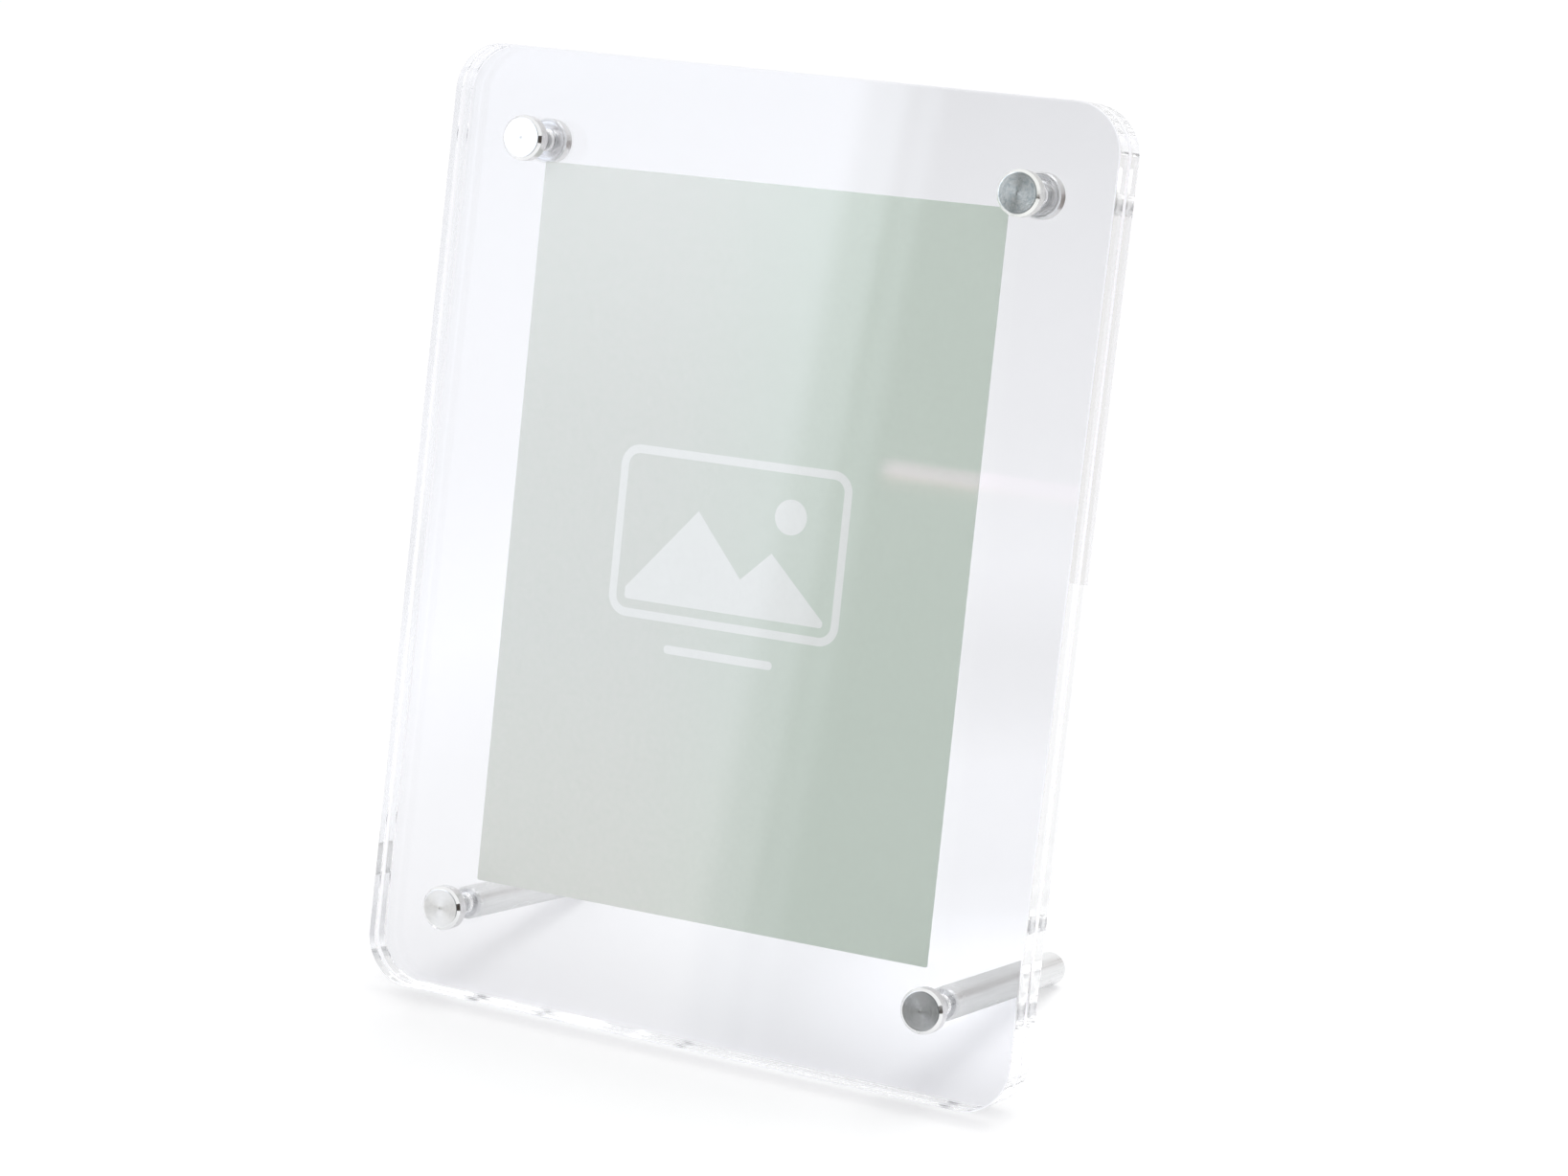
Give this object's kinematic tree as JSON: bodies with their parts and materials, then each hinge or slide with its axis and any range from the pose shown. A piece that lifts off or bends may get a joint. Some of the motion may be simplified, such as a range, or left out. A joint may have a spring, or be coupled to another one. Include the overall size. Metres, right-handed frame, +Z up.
{
  "type": "acrylic photo frame",
  "caption": "Desk photo frame: clear acrylic plates with rounded corners clamp a card, joined by turned metal caps at the corners, leaning back on metal rod legs.",
  "frame": {"origin": "on the table, at the middle of the footprint's bounding box", "axes": "+Z up; the picture faces -Y and leans back towards +Y; +X is the viewer's right"},
  "size_m": [0.1286, 0.0572, 0.167],
  "materials": {
    "acrylic": "polished clear",
    "card": "matt coated card",
    "turned_aluminium": "turned, fine concentric tool marks",
    "satin_aluminium": "satin",
    "stud_steel": "plain steel thread"
  },
  "bodies": {
    "rear_frame": {"back_plate": "acrylic", "rear_nut_left": "turned_aluminium", "rear_nut_right": "turned_aluminium", "leg_rod_left": "satin_aluminium", "leg_rod_right": "satin_aluminium"},
    "front_plate": {"front_plate": "acrylic"},
    "photo_card": {"photo_card": "card"},
    "stud_top_left": {"stud_top_left": "stud_steel"},
    "stud_top_right": {"stud_top_right": "stud_steel"},
    "stud_bottom_left": {"stud_bottom_left": "stud_steel"},
    "stud_bottom_right": {"stud_bottom_right": "stud_steel"},
    "cap_top_left": {"cap_top_left": "turned_aluminium"},
    "cap_top_right": {"cap_top_right": "turned_aluminium"},
    "cap_bottom_left": {"cap_bottom_left": "turned_aluminium"},
    "cap_bottom_right": {"cap_bottom_right": "turned_aluminium"}
  },
  "joints": [
    {"name": "front_plate_lift", "type": "slide", "parent": "rear_frame", "child": "front_plate", "axis": [0, -0.9593, 0.2823], "range_m": [0, 0.015]},
    {"name": "card_lift", "type": "slide", "parent": "rear_frame", "child": "photo_card", "axis": [0, 0.2823, 0.9593], "range_m": [0, 0.152]},
    {"name": "stud_top_left_travel", "type": "slide", "parent": "front_plate", "child": "stud_top_left", "axis": [0, -0.9593, 0.2823], "range_m": [0, 0.0015]},
    {"name": "stud_top_right_travel", "type": "slide", "parent": "front_plate", "child": "stud_top_right", "axis": [0, -0.9593, 0.2823], "range_m": [0, 0.0015]},
    {"name": "stud_bottom_left_travel", "type": "slide", "parent": "front_plate", "child": "stud_bottom_left", "axis": [0, -0.9593, 0.2823], "range_m": [0, 0.005]},
    {"name": "stud_bottom_right_travel", "type": "slide", "parent": "front_plate", "child": "stud_bottom_right", "axis": [0, -0.9593, 0.2823], "range_m": [0, 0.005]},
    {"name": "cap_top_left_turn", "type": "hinge", "parent": "stud_top_left", "child": "cap_top_left", "pos_m": [-0.048, 0.01487, 0.15148], "axis": [0, -0.9593, 0.2823], "range_deg": [0, 1080]},
    {"name": "cap_top_right_turn", "type": "hinge", "parent": "stud_top_right", "child": "cap_top_right", "pos_m": [0.048, 0.01487, 0.15148], "axis": [0, -0.9593, 0.2823], "range_deg": [0, 1080]},
    {"name": "cap_bottom_left_turn", "type": "hinge", "parent": "stud_bottom_left", "child": "cap_bottom_left", "pos_m": [-0.048, -0.02437, 0.01813], "axis": [0, -0.9593, 0.2823], "range_deg": [0, 3600]},
    {"name": "cap_bottom_right_turn", "type": "hinge", "parent": "stud_bottom_right", "child": "cap_bottom_right", "pos_m": [0.048, -0.02437, 0.01813], "axis": [0, -0.9593, 0.2823], "range_deg": [0, 3600]}
  ],
  "couplings": [
    {"joint": "cap_top_left_turn", "follows": "stud_top_left_travel", "rad_per_m": 12566},
    {"joint": "cap_top_right_turn", "follows": "stud_top_right_travel", "rad_per_m": 12566},
    {"joint": "cap_bottom_left_turn", "follows": "stud_bottom_left_travel", "rad_per_m": 12566},
    {"joint": "cap_bottom_right_turn", "follows": "stud_bottom_right_travel", "rad_per_m": 12566}
  ]
}
